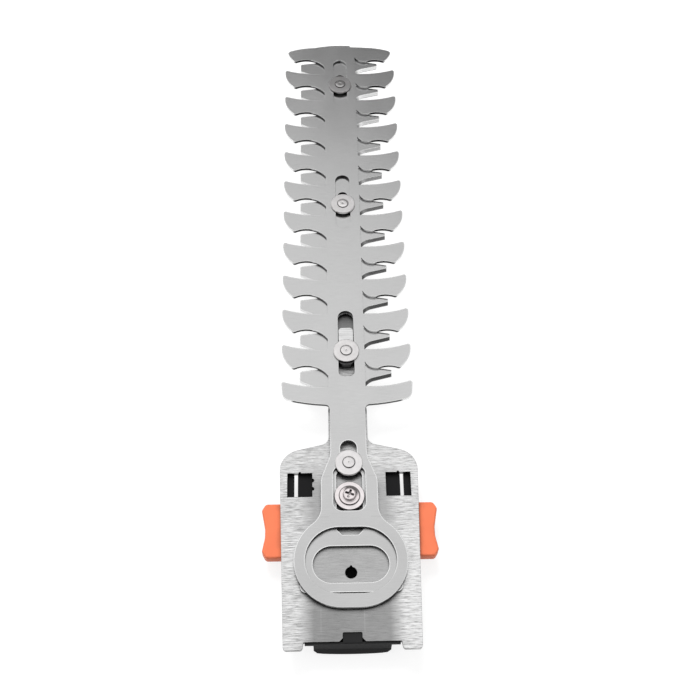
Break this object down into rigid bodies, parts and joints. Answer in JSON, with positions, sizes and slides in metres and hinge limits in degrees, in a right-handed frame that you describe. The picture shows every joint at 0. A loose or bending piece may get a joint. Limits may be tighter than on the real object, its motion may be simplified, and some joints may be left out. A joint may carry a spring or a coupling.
{
  "type": "hedge trimmer blade",
  "caption": "Double-sided shrub blade cartridge with two sliding toothed blades on a guide bar and a clip-in mount with two release buttons.",
  "frame": {"origin": "centre of the drive pilot hole, on the face of the base plate that meets the tool", "axes": "+Y along the blades towards their tip, +X to the right, +Z out of the face that meets the tool"},
  "size_m": [0.066, 0.2958, 0.0154],
  "materials": {
    "blade_steel": "satin, ground",
    "brushed_plate": "brushed across",
    "bright_steel": "bright",
    "black_plastic": "moulded, satin",
    "orange_plastic": "moulded"
  },
  "bodies": {
    "mount": {"base_plate": "brushed_plate", "guide_block": "brushed_plate", "retaining_screw": "bright_steel", "screw_washer": "bright_steel", "screw_bush": "bright_steel", "cover": "black_plastic", "left_spring": "bright_steel", "right_spring": "bright_steel", "tip_rivet": "bright_steel", "middle_rivet": "bright_steel", "lower_rivet": "bright_steel", "neck_rivet": "bright_steel", "tip_washer": "bright_steel", "middle_washer": "bright_steel", "lower_washer": "bright_steel", "neck_washer": "bright_steel", "tip_bush": "bright_steel", "middle_bush": "bright_steel", "neck_bush": "bright_steel"},
    "front_slider": {"front_blade": "blade_steel"},
    "rear_slider": {"rear_blade": "blade_steel"},
    "left_release": {"left_button": "orange_plastic", "left_latch": "black_plastic"},
    "right_release": {"right_button": "orange_plastic", "right_latch": "black_plastic"}
  },
  "joints": [
    {"name": "front_blade_slide", "type": "slide", "parent": "mount", "child": "front_slider", "axis": [0, 1, 0], "range_m": [-0.0071, 0]},
    {"name": "rear_blade_slide", "type": "slide", "parent": "mount", "child": "rear_slider", "axis": [0, 1, 0], "range_m": [-0.0059, 0.0012]},
    {"name": "left_button_press", "type": "slide", "parent": "mount", "child": "left_release", "axis": [1, 0, 0], "range_m": [0, 0.003], "stiffness_N_per_m": 900, "springref_m": -0.002, "deforming": ["left_spring"]},
    {"name": "right_button_press", "type": "slide", "parent": "mount", "child": "right_release", "axis": [-1, 0, 0], "range_m": [0, 0.003], "stiffness_N_per_m": 900, "springref_m": -0.002, "deforming": ["right_spring"]}
  ]
}
